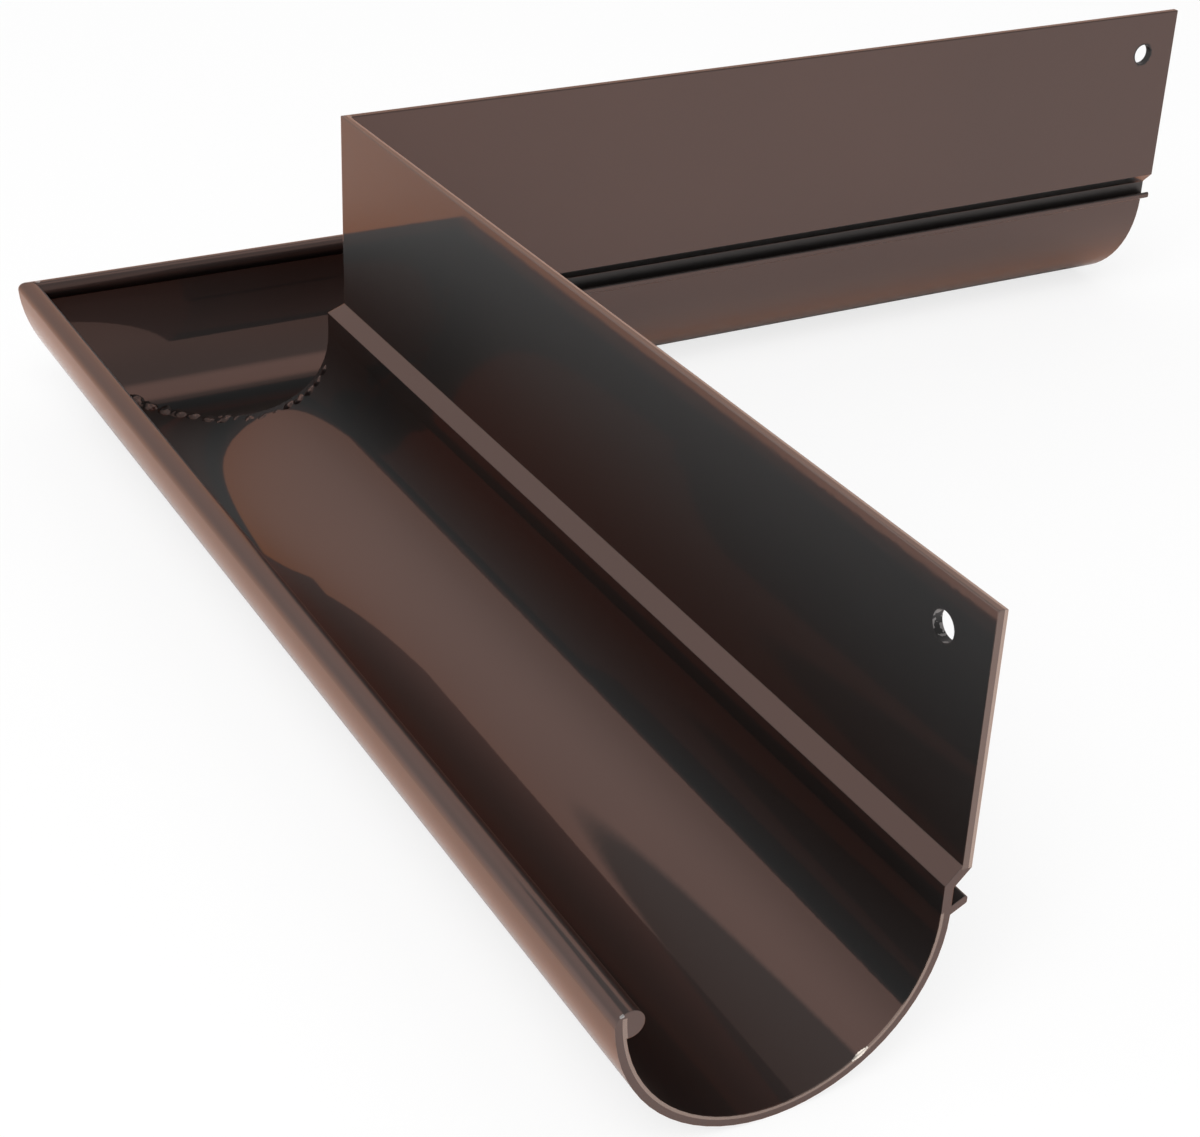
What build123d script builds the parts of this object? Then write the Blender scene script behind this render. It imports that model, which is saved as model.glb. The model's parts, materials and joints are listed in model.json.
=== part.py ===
from build123d import *
import math
import os

# External gutter angle: two lengths of one extruded half-round gutter with a tall fixing upstand,
# mitred and welded into a right angle that goes round the outside corner of a building.
# Millimetres, +Z up. The part stands on the bottoms of its two troughs. The near length runs towards
# -Y and the far length towards +X, and the building stands in the corner between their upstands.
# The origin is under the middle of the part, at the level that it stands on.

# Lengths, measured along the back of each upstand from the mitre to the cut end
near_length_size = 405.0
far_length_size = 405.0

# Section of the extrusion, where u runs forwards from the plane of the building and z runs up
wall = 3.0
trough_radius = 50.0
back_step = 5.0
ledge_angle = 45.0
foot_rise = 12.6
upstand_height = 77.6
corner_radius = 0.5

# Round bead along the front rim, set inside the outer circle of the trough
bead_radius = 4.2
bead_angle = -3.0

# Lip behind the trough, which slopes up to the plane of the building
lip_rise = 1.6
lip_angle = 26.0
lip_thickness = 2.5
lip_tip_radius = 0.8

# Fixing hole near the open end of each upstand, marked out by hand, so that the two differ a little
hole_diameter = 9.0
near_hole_from_end = 20.0
near_hole_from_top = 15.0
far_hole_from_end = 17.0
far_hole_from_top = 18.5

# Weld inside the trough, laid along the mitre as a row of overlapping puddles that swell and sway,
# large in the front corner and small round the back one. Sinks and pitch are shares of a radius.
front_puddle_radius = 4.3
back_puddle_radius = 3.7
puddle_swell = 0.45
puddle_sway = 0.4
front_puddle_sink = 0.35
back_puddle_sink = 0.44
puddle_pitch = 1.63
swell_step = 2.4
sway_step = 1.7
weld_front_angle = -16.0
weld_back_angle = -164.0

# Places that follow from the sizes
trough_centre = (back_step + trough_radius, trough_radius)
inner_radius = trough_radius - wall
front_u = trough_centre[0] + trough_radius
foot_height = trough_centre[1] + foot_rise
top_height = foot_height + upstand_height


def from_centre(centre, radius, angle):
    """Point of the section at a radius and an angle in degrees, 0 being forwards and 90 up."""
    turn = math.radians(angle)
    return (centre[0] + radius * math.cos(turn), centre[1] + radius * math.sin(turn))


def gutter_outline():
    """Closed outline of the trough, bead, ledge and upstand."""
    slope = math.tan(math.radians(ledge_angle))
    ledge_lift = wall / math.cos(math.radians(ledge_angle))
    inner_u = back_step + wall
    foot = (0, foot_height)
    under_ledge = (back_step, foot_height - back_step * slope)
    ledge_back = (wall, foot_height - wall * slope + ledge_lift)
    ledge_front = (inner_u, foot_height - inner_u * slope + ledge_lift)

    # The bead touches the outer circle from inside and closes onto the inner face of the wall
    bead_reach = trough_radius - bead_radius
    bead_centre = from_centre(trough_centre, bead_reach, bead_angle)
    close_cosine = (inner_radius**2 - bead_reach**2 - bead_radius**2) / (2 * bead_reach * bead_radius)
    bead_turn = 360 - math.degrees(math.acos(close_cosine))
    bead_start = from_centre(bead_centre, bead_radius, bead_angle)
    bead_middle = from_centre(bead_centre, bead_radius, bead_angle + bead_turn / 2)
    bead_close = from_centre(bead_centre, bead_radius, bead_angle + bead_turn)

    with BuildLine() as outline:
        Polyline((wall, top_height), (0, top_height), foot, under_ledge, (back_step, trough_centre[1]))
        ThreePointArc((back_step, trough_centre[1]), (trough_centre[0], 0), bead_start)
        ThreePointArc(bead_start, bead_middle, bead_close)
        ThreePointArc(bead_close, (trough_centre[0], wall), (inner_u, trough_centre[1]))
        Polyline((inner_u, trough_centre[1]), ledge_front, ledge_back, (wall, top_height))
    corners = [(0, top_height), (wall, top_height), foot, under_ledge, ledge_back, ledge_front]
    return outline.line, corners


def lip_outline():
    """Closed outline of the lip, started in the middle of the wall that it springs from."""
    slope = math.tan(math.radians(lip_angle))
    depth = lip_thickness / math.cos(math.radians(lip_angle))
    root_u = back_step + wall / 2
    tip_height = trough_centre[1] + lip_rise + back_step * slope
    root_height = tip_height - root_u * slope
    tip = [(0, tip_height), (0, tip_height - depth)]
    with BuildLine() as outline:
        Polyline(*tip, (root_u, root_height - depth), (root_u, root_height), close=True)
    return outline.line, tip


def gutter_section():
    """Face of the extrusion, with the die's small radii on its corners."""
    outline, corners = gutter_outline()
    lip, lip_tip = lip_outline()
    section = make_face(outline) + make_face(lip)
    for points, radius in ((corners, corner_radius), (lip_tip, lip_tip_radius)):
        for point in points:
            corner = section.vertices().sort_by_distance(Vector(*point))[0]
            section = fillet(corner, radius)
    return section


def trough_space():
    """Face of the space inside the trough, up to its centre."""
    start = from_centre(trough_centre, inner_radius, 180)
    end = from_centre(trough_centre, inner_radius, 0)
    with BuildLine() as outline:
        ThreePointArc(start, (trough_centre[0], wall), end)
        Line(end, start)
    return make_face(outline.line)


# Each length is drawn on its cut end, with u turned away from the building, and runs inwards from
# there to the mitre. A side is its end plane, the sign of inwards, its size and the half that it keeps.
near_end = Plane(origin=(0, -near_length_size, 0), x_dir=(-1, 0, 0), z_dir=(0, 1, 0))
far_end = Plane(origin=(far_length_size, 0, 0), x_dir=(0, 1, 0), z_dir=(1, 0, 0))
mitre = Plane(origin=(0, 0, 0), x_dir=(0, 0, 1), z_dir=(1, 1, 0))
near_side = (near_end, 1, near_length_size, Keep.BOTTOM)
far_side = (far_end, -1, far_length_size, Keep.TOP)


def mitred(section, side):
    """Section extruded from its end past the corner, and cut off along the mitre."""
    end, inwards, size, keep = side
    bar = extrude(end * section, inwards * (size + front_u))
    return split(bar, mitre, keep=keep)


def length_of_gutter(side, hole_from_end, hole_from_top):
    """One mitred length with its fixing hole, drilled square through the upstand."""
    end, inwards, size, keep = side
    hole = end.from_local_coords((wall / 2, top_height - hole_from_top, inwards * hole_from_end))
    drill = Plane(origin=hole, z_dir=end.x_dir) * Cylinder(hole_diameter / 2, 4 * wall)
    return mitred(gutter_section(), side) - drill


def along_weld(front, back, angle):
    """Value at an angle of the weld, between the values at its front and back ends."""
    share = (weld_front_angle - angle) / (weld_front_angle - weld_back_angle)
    return front + (back - front) * share


def weld_run():
    """Row of puddles on the inner faces of the two troughs, along the mitre."""
    puddles = []
    angle = weld_front_angle
    while angle > weld_back_angle:
        count = len(puddles)
        mean_radius = along_weld(front_puddle_radius, back_puddle_radius, angle)
        radius = mean_radius + puddle_swell * math.sin(swell_step * count)
        sway = puddle_sway * math.cos(sway_step * count)
        sink = radius * along_weld(front_puddle_sink, back_puddle_sink, angle)
        u, z = from_centre(trough_centre, inner_radius + sink, angle)
        puddles.append(Pos(-u + sway, u + sway, z) * Sphere(radius))

        # The mitre cuts the round trough along an ellipse, so a puddle's pitch is less of a turn there
        turn = math.radians(angle)
        stretch = math.hypot(math.sqrt(2) * math.sin(turn), math.cos(turn))
        angle -= math.degrees(puddle_pitch * mean_radius / (inner_radius * stretch))
    row = puddles[0].fuse(*puddles[1:])
    space = mitred(trough_space(), near_side) + mitred(trough_space(), far_side)
    return row & space


near_length = length_of_gutter(near_side, near_hole_from_end, near_hole_from_top)
far_length = length_of_gutter(far_side, far_hole_from_end, far_hole_from_top)
mitre_weld = weld_run()

# The origin goes under the middle of the part
middle_x = (far_length_size - front_u) / 2
middle_y = (front_u - near_length_size) / 2
to_origin = Pos(-middle_x, -middle_y, 0)

os.makedirs("parts", exist_ok=True)
export_step(to_origin * near_length, "parts/near_length.step")
export_step(to_origin * far_length, "parts/far_length.step")
export_step(to_origin * mitre_weld, "parts/mitre_weld.step")
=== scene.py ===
import json
import math
import bmesh
import bpy
from mathutils import Euler, Matrix, Vector, noise


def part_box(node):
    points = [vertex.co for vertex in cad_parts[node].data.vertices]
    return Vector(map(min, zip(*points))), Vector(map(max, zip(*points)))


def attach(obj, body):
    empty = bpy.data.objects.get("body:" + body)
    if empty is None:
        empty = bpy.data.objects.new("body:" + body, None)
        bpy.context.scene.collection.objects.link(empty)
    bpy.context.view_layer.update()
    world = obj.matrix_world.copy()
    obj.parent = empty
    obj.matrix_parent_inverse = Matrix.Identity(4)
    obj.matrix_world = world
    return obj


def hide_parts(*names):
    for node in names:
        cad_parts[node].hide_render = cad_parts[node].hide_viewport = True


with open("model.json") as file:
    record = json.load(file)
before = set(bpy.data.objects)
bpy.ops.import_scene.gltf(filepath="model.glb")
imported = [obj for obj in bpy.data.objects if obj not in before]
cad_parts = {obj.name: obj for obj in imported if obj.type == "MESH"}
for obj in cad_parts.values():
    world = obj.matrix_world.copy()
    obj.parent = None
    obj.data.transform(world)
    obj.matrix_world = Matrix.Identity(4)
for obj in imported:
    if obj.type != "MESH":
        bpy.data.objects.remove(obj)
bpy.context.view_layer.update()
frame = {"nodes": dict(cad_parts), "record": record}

# Places taken from the frame. All lengths are in metres.
near_low, near_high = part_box("near_length")
far_low, far_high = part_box("far_length")
corner_x = near_high[0]
corner_y = far_low[1]
near_end_y = near_low[1]
far_end_x = far_high[0]
mounts = {m["name"]: m for m in frame["record"]["mounts"]}

# Photograph: its width in pixels, and the camera that was fitted to its edges
image_width = 1200
focal_length_px = 2291.0
sensor_width = 36.0
camera_from_corner = Vector((-0.3255, -0.7752, 0.4161))
heading = math.radians(29.67)
dip = math.radians(29.18)
roll = math.radians(2.43)
camera_clip = 0.01

# Section of the gutter that the small places on it follow: the middle and inside of the trough, the
# level of the upstand's foot, and a depth that just takes in the upstand's wall
trough_u = 0.055
trough_z = 0.050
inner_radius = 0.047
upstand_foot = 0.0626
upstand_depth = 0.0032

# Linear colours
coat_brown = (0.088, 0.0445, 0.0345, 1.0)
coat_deep = (0.081, 0.0415, 0.0325, 1.0)
# Painted highlight: paler colour on the edges that catch the light
painted_edge_highlight_colour = (0.40, 0.29, 0.24, 1.0)
# Painted shade for the recessed slot behind each trough
painted_slot_shade = (0.030, 0.024, 0.022, 1.0)
ring_dark = (0.005, 0.003, 0.003, 1.0)
bare_metal = (0.36, 0.345, 0.34, 1.0)
# Painted glint: brighter than the bare metal, on a rubbed edge
rubbed_metal_glint = (0.97, 0.88, 0.78, 1.0)
grazing_tint = (0.78, 0.48, 0.37, 1.0)
white = (1.0, 1.0, 1.0, 1.0)
paper = (0.92, 0.92, 0.92, 1.0)

# Noises on the coating in cycles per metre, and the middle span of a noise that is put to use
noise_span = (0.3, 0.7)
tone_scale = 9.0
gloss_scale = 30.0
gloss_detail_roughness = 0.6
ragged_scale = 900.0
ripple_scale = 9.0
peel_scale = 420.0

# Relief of the coating: its strength, and the depth of its ripple and of its orange peel
relief_strength = 0.05
ripple_depth = 0.001
peel_depth = 0.0001
weld_peel = 3.0

# Roughness of the coating, and of the soft neutral sheen that lies over it
gloss_range = (0.02, 0.045)
sheen_roughness = 0.5
sheen_ior = 1.57

# Slot behind each trough, darkened with painted shade and dull: its depth and height
slot_roughness = 0.34
slot_depth = (0.0001, 0.0053)
slot_height = (0.0505, 0.0573)

# Small faults that show in the photograph. Bare spots as distance outside the building, along y, height
# and radius: one in the groove of the near bead, one where the two beads meet. The glint is a painted
# highlight on a rubbed length of the near end's inner edge, as angles round the trough with the width at
# each.
bare_places = ((0.1032, -0.405, 0.0509, 0.0006), (0.0977, 0.1006, 0.0525, 0.0012))
bare_ragged = 0.0003
bare_roughness = 0.35
glint_places = ((-120.4, 0.0004), (-121.4, 0.0006), (-122.4, 0.0008), (-123.4, 0.0009), (-124.4, 0.0008),
                (-125.4, 0.0006), (-126.4, 0.0004))

# Flakes of bare metal in the near hole's bore, and the dark ring round both holes
flake_scale = 560.0
flake_level = 0.57
bore_margin = 0.0001
ring_roughness = 0.75
ring_width = 0.0006
ring_ragged = 0.0006

# Sharp edges are rounded by this radius in the look. Painted highlights, for light caught by the edges, lie
# on strips of these widths and are paler by these shares.
edge_radius = 0.0005
edge_samples = 4
edge_width = 0.0004
inner_edge_width = 0.0009
back_edge_width = 0.0011
inner_edge_share = 0.55
face_share = 0.20
back_edge_share = 0.95

# Weld: how far the puddles are grown before they are run together, how far the run is then sunk into the
# walls at its front and at its back, how much lower and calmer it is at the back, where it fades, how it
# sways across the mitre, and the size, reach and start of each noise on it
merge_distance = 1e-6
weld_swell = 0.0006
weld_voxel = 0.0004
weld_smoothing = 0.5
weld_passes = 9
weld_sink = (0.0005, 0.0016)
weld_flatten = 0.5
weld_calm = 0.5
weld_fade = (math.radians(-60.0), math.radians(-125.0))
sway_size = 0.009
sway_reach = 0.0011
weld_lumps = ((0.0080, 0.0009, (1.0, 2.0, 3.0)),
              (0.0028, 0.0008, (4.0, 9.0, 6.0)),
              (0.0011, 0.00022, (7.0, 3.0, 5.0)))

# Floor: half its width, how far it lies under the part, its roughness, and how far the camera sees it
# lifted to white
floor_half = 6.0
floor_drop = 0.0002
floor_roughness = 0.9
floor_lift = 0.78

# Brightness of the studio by height, as the sine of the elevation: a white backdrop with a darker
# room above it in front of the camera, and an even grey room behind it. One runs into the other
# between two directions along y.
studio_ahead = ((0.0, 0.72), (0.34, 0.80), (0.60, 1.02), (0.697, 1.02), (0.715, 0.26), (1.0, 0.34))
studio_behind = ((0.0, 0.52), (0.50, 0.52), (0.75, 0.50), (1.0, 0.36))
studio_sides = (-0.4, 0.5)

# Soft light in the ceiling: where it is, the cosines of its outer and inner edges, and its strength
soft_light_way = Vector((0.31, 0.26, 0.91)).normalized()
soft_light_edges = (math.cos(math.radians(15.0)), math.cos(math.radians(6.0)))
soft_light_strength = 0.65

# Lamp from the front left, which lights the floor
lamp_place = (-2.4, -2.8, 4.4)
lamp_aim = (0.0, 0.0, 0.0)
lamp_size = (4.0, 4.0)
lamp_power = 275.0


def new_material(name):
    """A node material, with its tree and its shader."""
    material = bpy.data.materials.new(name)
    material.use_nodes = True
    tree = material.node_tree
    shader = tree.nodes["Principled BSDF"]
    return material, tree, shader


def add(tree, kind, inputs=None, **settings):
    """Adds a node, sets it up, and links or sets its inputs."""
    node = tree.nodes.new(kind)
    for key, value in settings.items():
        setattr(node, key, value)
    for key, value in (inputs or {}).items():
        if isinstance(value, bpy.types.NodeSocket):
            tree.links.new(value, node.inputs[key])
        else:
            node.inputs[key].default_value = value
    return node


def math_node(tree, operation, *values):
    """Result of one Math node."""
    return add(tree, "ShaderNodeMath", dict(enumerate(values)), operation=operation).outputs["Value"]


def clouds(tree, place, scale, detail, roughness=0.5):
    """Noise between 0 and 1, with its scale in cycles per metre."""
    return add(tree, "ShaderNodeTexNoise", {"Vector": place, "Scale": scale, "Detail": detail,
                                            "Roughness": roughness}).outputs["Fac"]


def spread(tree, value, start, end, low, high, smooth=False):
    """Maps the range from start to end onto the one from low to high."""
    kind = "SMOOTHSTEP" if smooth else "LINEAR"
    return add(tree, "ShaderNodeMapRange", {"Value": value, "From Min": start, "From Max": end, "To Min": low,
                                            "To Max": high}, interpolation_type=kind).outputs["Result"]


def blend_colour(tree, factor, first, second):
    """Colour between two others."""
    node = add(tree, "ShaderNodeMix", {"Factor": factor}, data_type="RGBA")
    # The colour sockets of the Mix node come after those for numbers and vectors
    for socket, colour in ((node.inputs[6], first), (node.inputs[7], second)):
        if isinstance(colour, bpy.types.NodeSocket):
            tree.links.new(colour, socket)
        else:
            socket.default_value = colour
    return node.outputs[2]


def between(tree, value, low, high):
    """1 where a value lies between two others, and 0 elsewhere."""
    return math_node(tree, "COMPARE", value, (low + high) / 2, (high - low) / 2)


def near_point(tree, place, point, radius, ragged):
    """1 within a radius of a point, with a ragged edge, and 0 outside."""
    distance = add(tree, "ShaderNodeVectorMath", {0: place, 1: point}, operation="DISTANCE").outputs["Value"]
    return math_node(tree, "LESS_THAN", math_node(tree, "ADD", distance, ragged), radius)


def from_corner(x_back, y, z):
    """Point given from the mitre corner: how far outside the building, how far along y, and its height."""
    return (corner_x - x_back, corner_y + y, z)


def largest(tree, masks):
    """Union of several masks."""
    total = masks[0]
    for mask in masks[1:]:
        total = math_node(tree, "MAXIMUM", total, mask)
    return total


def round_hole(tree, place, name, margin, ragged):
    """1 within a margin round a fixing hole's bore, and 0 outside."""
    hole = mounts[name]
    flat = Vector((1, 1, 1)) - Vector([abs(a) for a in hole["axis"]])
    across = add(tree, "ShaderNodeVectorMath", {0: place, 1: tuple(flat)}, operation="MULTIPLY").outputs[0]
    centre = tuple(a * b for a, b in zip(hole["pos_m"], flat))
    return near_point(tree, across, centre, hole["dims"]["r_mm"] / 1000 + margin, ragged)


def chips(tree, place, uneven):
    """Bare metal: flakes in the near hole's bore, and spots on the beads."""
    flakes = math_node(tree, "GREATER_THAN", clouds(tree, place, flake_scale, 1.0), flake_level)
    bore = round_hole(tree, place, "hole_near", bore_margin, 0.0)
    masks = [math_node(tree, "MULTIPLY", bore, flakes)]
    ragged = spread(tree, uneven, *noise_span, -bare_ragged, bare_ragged)
    for x_back, y, z, radius in bare_places:
        masks.append(near_point(tree, place, from_corner(x_back, y, z), radius, ragged))
    return largest(tree, masks)


def glint(tree, place):
    """Painted glint: rubbed metal, brighter than bare metal, along a short length of the near end's inner
    edge.
    """
    masks = []
    for angle, width in glint_places:
        turn = math.radians(angle)
        u = trough_u + inner_radius * math.cos(turn)
        z = trough_z + inner_radius * math.sin(turn)
        masks.append(near_point(tree, place, (corner_x - u, near_end_y, z), width, 0.0))
    return largest(tree, masks)


def rings(tree, place, uneven):
    """Dark ragged ring that the drill left in the coating round each hole."""
    ragged = spread(tree, uneven, *noise_span, -ring_ragged, ring_ragged)
    near_ring = round_hole(tree, place, "hole_near", ring_width, ragged)
    far_ring = round_hole(tree, place, "hole_far", ring_width, ragged)
    return largest(tree, [near_ring, far_ring])


def slot_shade_mask(tree, place):
    """1 inside the narrow slot behind each trough, which is darkened with painted shade and made dull."""
    part = add(tree, "ShaderNodeSeparateXYZ", {"Vector": place}).outputs
    behind_near = between(tree, part["X"], corner_x - slot_depth[1], corner_x - slot_depth[0])
    behind_far = between(tree, part["Y"], corner_y + slot_depth[0], corner_y + slot_depth[1])
    along_near = between(tree, part["Y"], near_end_y, corner_y + slot_depth[1])
    along_far = between(tree, part["X"], corner_x - slot_depth[1], far_end_x)
    behind = math_node(tree, "MAXIMUM", math_node(tree, "MULTIPLY", behind_near, along_near),
                       math_node(tree, "MULTIPLY", behind_far, along_far))
    return math_node(tree, "MULTIPLY", behind, between(tree, part["Z"], *slot_height))


def painted_edge_highlight(tree, place):
    """Share of painted highlight, a paler colour that stands for light caught by the edges: on the near
    upstand's top and cut end, most on their back edge, and on the inner edge of the near trough's cut end."""
    part = add(tree, "ShaderNodeSeparateXYZ", {"Vector": place}).outputs
    upstand = between(tree, part["X"], corner_x - upstand_depth, corner_x + edge_width)
    back_edge = between(tree, part["X"], corner_x - back_edge_width, corner_x + edge_width)
    top = between(tree, part["Z"], near_high[2] - edge_width, near_high[2] + edge_width)
    cut_end = between(tree, part["Y"], near_end_y - edge_width, near_end_y + edge_width)
    above_foot = between(tree, part["Z"], upstand_foot, near_high[2])
    cut_faces = math_node(tree, "MAXIMUM", top, math_node(tree, "MULTIPLY", cut_end, above_foot))
    shares = math_node(tree, "MAXIMUM", math_node(tree, "MULTIPLY", upstand, face_share),
                       math_node(tree, "MULTIPLY", back_edge, back_edge_share))

    flat = (1.0, 0.0, 1.0)
    across = add(tree, "ShaderNodeVectorMath", {0: place, 1: flat}, operation="MULTIPLY").outputs[0]
    axis = (corner_x - trough_u, 0.0, trough_z)
    reach = add(tree, "ShaderNodeVectorMath", {0: across, 1: axis}, operation="DISTANCE").outputs["Value"]
    inner = between(tree, reach, inner_radius - edge_width, inner_radius + inner_edge_width)
    below = between(tree, part["Z"], near_low[2], trough_z)
    inner_edge = math_node(tree, "MULTIPLY", math_node(tree, "MULTIPLY", inner, below),
                           math_node(tree, "MULTIPLY", cut_end, inner_edge_share))
    return math_node(tree, "MAXIMUM", inner_edge, math_node(tree, "MULTIPLY", cut_faces, shares))


def relief(tree, place, peel, softened):
    """Normal with rounded edges, a slight ripple and orange peel."""
    normal = softened
    for scale, detail, depth in ((ripple_scale, 1.0, ripple_depth), (peel_scale, 2.0, peel_depth)):
        height = clouds(tree, place, scale, detail)
        bump = add(tree, "ShaderNodeBump", {"Strength": relief_strength * peel, "Distance": depth,
                                            "Height": height, "Normal": normal})
        normal = bump.outputs["Normal"]
    return normal


def coating(name, peel=1.0):
    """Glossy brown coating on metal, with painted edge highlights, painted shade in its dull slots, a painted
    glint on a rubbed edge, and its small faults.
    """
    material, tree, shader = new_material(name)
    place = add(tree, "ShaderNodeTexCoord").outputs["Object"]
    rounded = add(tree, "ShaderNodeBevel", {"Radius": edge_radius}, samples=edge_samples).outputs["Normal"]
    tree.links.new(relief(tree, place, peel, rounded), shader.inputs["Normal"])

    uneven = clouds(tree, place, ragged_scale, 2.0)
    ringed = rings(tree, place, uneven)
    shaded_slot = slot_shade_mask(tree, place)
    chipped = chips(tree, place, uneven)

    patches = spread(tree, clouds(tree, place, tone_scale, 3.0), *noise_span, 0.0, 1.0)
    colour = blend_colour(tree, patches, coat_deep, coat_brown)
    # Over the tone go painted edge highlights, drill rings, painted slot shade, bare chips and the painted
    # glint
    for mask, over in ((painted_edge_highlight(tree, place), painted_edge_highlight_colour), (ringed, ring_dark), (shaded_slot, painted_slot_shade),
                       (chipped, bare_metal), (glint(tree, place), rubbed_metal_glint)):
        colour = blend_colour(tree, mask, colour, over)
    tree.links.new(colour, shader.inputs["Base Color"])

    roughnesses = [spread(tree, clouds(tree, place, gloss_scale, 4.0, gloss_detail_roughness), *noise_span,
                          *gloss_range)]
    for mask, rough in ((shaded_slot, slot_roughness), (chipped, bare_roughness), (ringed, ring_roughness)):
        roughnesses.append(math_node(tree, "MULTIPLY", mask, rough))
    tree.links.new(largest(tree, roughnesses), shader.inputs["Roughness"])

    shader.inputs["Metallic"].default_value = 1.0
    shader.inputs["Specular Tint"].default_value = grazing_tint
    shader.inputs["Coat Weight"].default_value = 1.0
    shader.inputs["Coat Roughness"].default_value = sheen_roughness
    shader.inputs["Coat IOR"].default_value = sheen_ior
    return material


def dress(node, material):
    """Gives a CAD node a material through its slots."""
    for slot in frame["nodes"][node].material_slots:
        slot.link = "OBJECT"
        slot.material = material


def bake(piece):
    """Applies a piece's modifiers to its mesh."""
    seen = piece.evaluated_get(bpy.context.evaluated_depsgraph_get())
    mesh = bpy.data.meshes.new_from_object(seen)
    piece.modifiers.clear()
    piece.data = mesh


def weld_flow(point):
    """Shift of a point of the weld, sunk at the back of the trough and swaying across the mitre at the
    front, and its share of the way from the front to the back."""
    u = (corner_x - point.x + point.y - corner_y) / 2
    turn = math.atan2(point.z - trough_z, u - trough_u)
    fade_start, fade_end = weld_fade
    share = min(max((fade_start - turn) / (fade_start - fade_end), 0.0), 1.0)
    height = max(inner_radius - math.hypot(u - trough_u, point.z - trough_z), 0.0)
    front_sink, back_sink = weld_sink
    sink = front_sink + (back_sink - front_sink) * share + height * weld_flatten * share
    outwards = Vector((-math.cos(turn), math.cos(turn), math.sin(turn)))
    sway = noise.noise(point / sway_size) * sway_reach * (1.0 - share)
    return outwards * sink + Vector((sway, sway, 0.0)), share


def weld_piece(material):
    """Irregular weld, grown from the row of puddles and run into the walls."""
    piece = bpy.data.objects.new("weld_run", frame["nodes"]["mitre_weld"].data.copy())
    bpy.context.collection.objects.link(piece)
    shape = bmesh.new()
    shape.from_mesh(piece.data)
    bmesh.ops.remove_doubles(shape, verts=shape.verts, dist=merge_distance)
    bmesh.ops.recalc_face_normals(shape, faces=shape.faces)
    for vert in shape.verts:
        vert.co += vert.normal * weld_swell
    shape.to_mesh(piece.data)
    shape.free()

    skin = piece.modifiers.new("skin", "REMESH")
    skin.mode = "VOXEL"
    skin.voxel_size = weld_voxel
    flow = piece.modifiers.new("flow", "SMOOTH")
    flow.factor = weld_smoothing
    flow.iterations = weld_passes
    bake(piece)

    # The normals are read first, because moving a point changes them
    normals = [vert.normal.copy() for vert in piece.data.vertices]
    for vert, normal in zip(piece.data.vertices, normals):
        shift, share = weld_flow(vert.co)
        push = sum(noise.noise(vert.co / size + Vector(start)) * reach for size, reach, start in weld_lumps)
        vert.co += normal * push * (1.0 - weld_calm * share) + shift
    for face in piece.data.polygons:
        face.use_smooth = True
    piece.data.materials.clear()
    piece.data.materials.append(material)
    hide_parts("mitre_weld")
    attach(piece, "root")


def set_camera():
    """Camera at the photograph's place, with its focal length."""
    data = bpy.data.cameras.new("camera")
    data.sensor_width = sensor_width
    data.lens = focal_length_px / image_width * sensor_width
    data.clip_start = camera_clip
    camera = bpy.data.objects.new("camera", data)
    bpy.context.collection.objects.link(camera)
    turn = Euler((math.pi / 2 - dip, 0.0, -heading)).to_matrix() @ Matrix.Rotation(roll, 3, "Z")
    eye = Vector((corner_x, corner_y, 0.0)) + camera_from_corner
    camera.matrix_world = Matrix.Translation(eye) @ turn.to_4x4()
    bpy.context.scene.camera = camera


def floor_paper():
    """White paper that keeps a soft shadow and is lifted to white for the camera."""
    material, tree, shader = new_material("floor_paper")
    shader.inputs["Base Color"].default_value = paper
    shader.inputs["Roughness"].default_value = floor_roughness
    glow = add(tree, "ShaderNodeEmission", {"Color": white, "Strength": 1.0})
    ray = add(tree, "ShaderNodeLightPath").outputs["Is Camera Ray"]
    share = math_node(tree, "MULTIPLY", ray, floor_lift)
    lifted = add(tree, "ShaderNodeMixShader", {0: share, 1: shader.outputs["BSDF"],
                                               2: glow.outputs["Emission"]})
    tree.links.new(lifted.outputs["Shader"], tree.nodes["Material Output"].inputs["Surface"])
    return material


def set_floor():
    """Plain pale floor that the troughs stand on."""
    mesh = bpy.data.meshes.new("floor")
    corners = [(x * floor_half, y * floor_half, 0) for x, y in ((-1, -1), (1, -1), (1, 1), (-1, 1))]
    mesh.from_pydata(corners, [], [(0, 1, 2, 3)])
    floor = bpy.data.objects.new("floor", mesh)
    bpy.context.collection.objects.link(floor)
    floor.location.z = near_low[2] - floor_drop
    mesh.materials.append(floor_paper())


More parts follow.
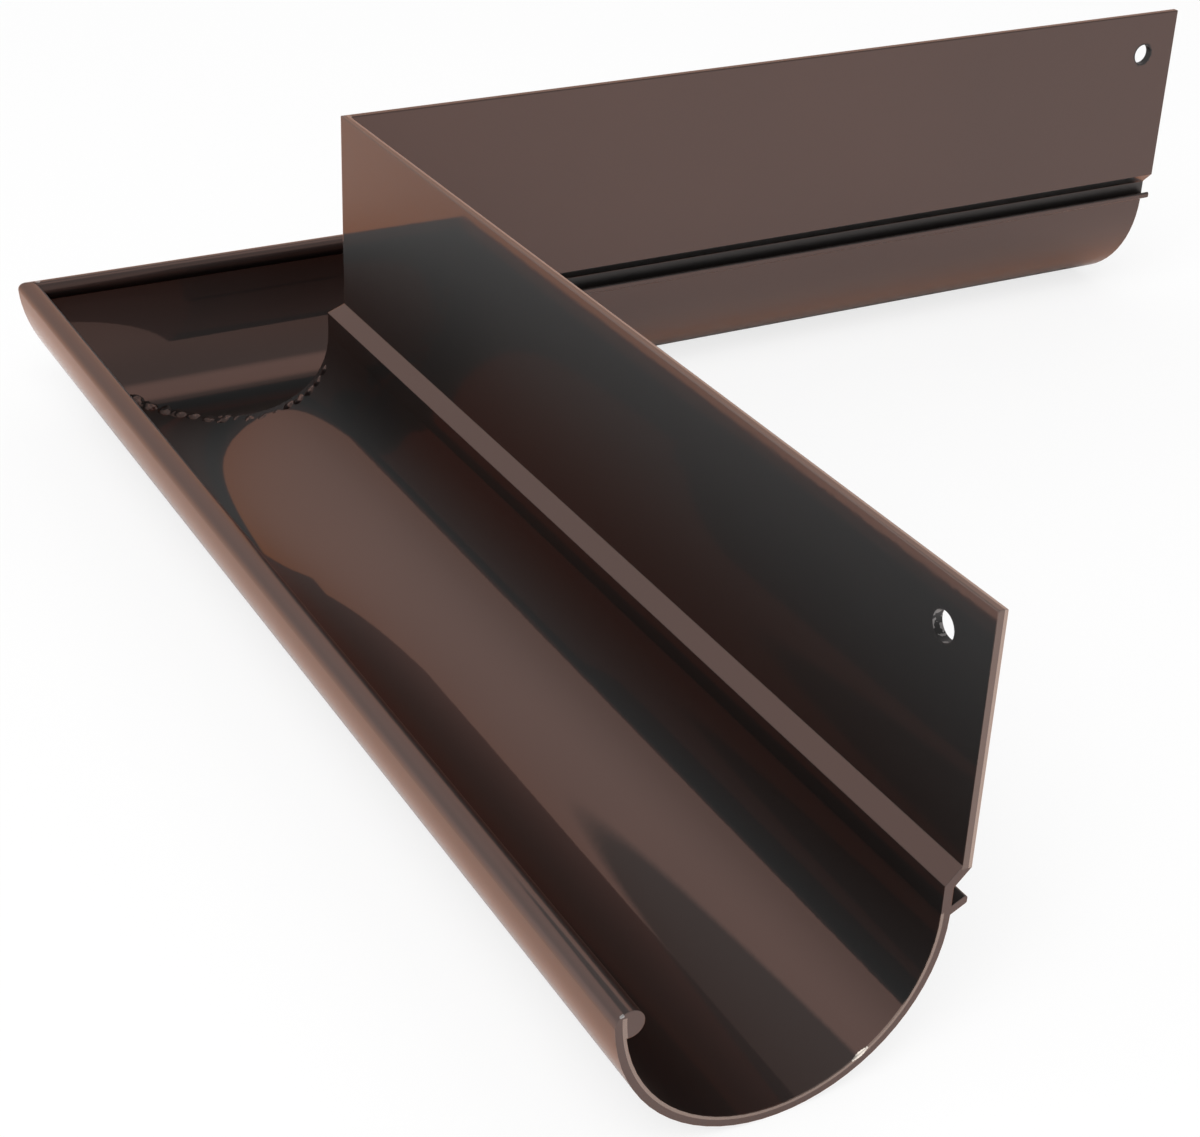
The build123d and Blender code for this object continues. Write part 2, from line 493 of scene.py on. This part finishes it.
def soft_box():
    """Soft lamp that looks at the part and isn't seen in it."""
    data = bpy.data.lights.new("soft_box", "AREA")
    data.shape = "RECTANGLE"
    data.size, data.size_y = lamp_size
    data.energy = lamp_power
    lamp = bpy.data.objects.new("soft_box", data)
    bpy.context.collection.objects.link(lamp)
    lamp.location = lamp_place
    lamp.visible_glossy = False
    lamp.rotation_euler = (Vector(lamp_aim) - Vector(lamp_place)).to_track_quat("-Z", "Y").to_euler()


def by_height(tree, height, levels):
    """Grey that follows a list of heights and brightnesses."""
    ramp = add(tree, "ShaderNodeValToRGB", {"Fac": height})
    stops = ramp.color_ramp.elements
    while len(stops) < len(levels):
        stops.new(0.5)
    for stop, (level, bright) in zip(stops, levels):
        stop.position = level
        stop.color = (bright, bright, bright, 1.0)
    return ramp.outputs["Color"]


def set_studio():
    """Surroundings that the coating reflects, and that are white to the camera."""
    world = bpy.data.worlds.new("studio")
    world.use_nodes = True
    tree = world.node_tree
    ray = add(tree, "ShaderNodeLightPath").outputs["Is Camera Ray"]
    way = add(tree, "ShaderNodeTexCoord").outputs["Generated"]
    part = add(tree, "ShaderNodeSeparateXYZ", {"Vector": way}).outputs
    ahead = spread(tree, part["Y"], *studio_sides, 0.0, 1.0, smooth=True)
    room = blend_colour(tree, ahead, by_height(tree, part["Z"], studio_behind),
                        by_height(tree, part["Z"], studio_ahead))
    facing = add(tree, "ShaderNodeVectorMath", {0: way, 1: soft_light_way}, operation="DOT_PRODUCT")
    patch = spread(tree, facing.outputs["Value"], *soft_light_edges, 0.0, soft_light_strength, smooth=True)
    total = math_node(tree, "MAXIMUM", math_node(tree, "ADD", room, patch), ray)
    tree.links.new(total, tree.nodes["Background"].inputs["Strength"])
    tree.nodes["Background"].inputs["Color"].default_value = white
    bpy.context.scene.world = world


bpy.context.scene.view_settings.view_transform = "Standard"
set_camera()
set_floor()
set_studio()
soft_box()
coat = coating("brown_coating")
dress("near_length", coat)
dress("far_length", coat)
weld_piece(coating("weld_coating", peel=weld_peel))
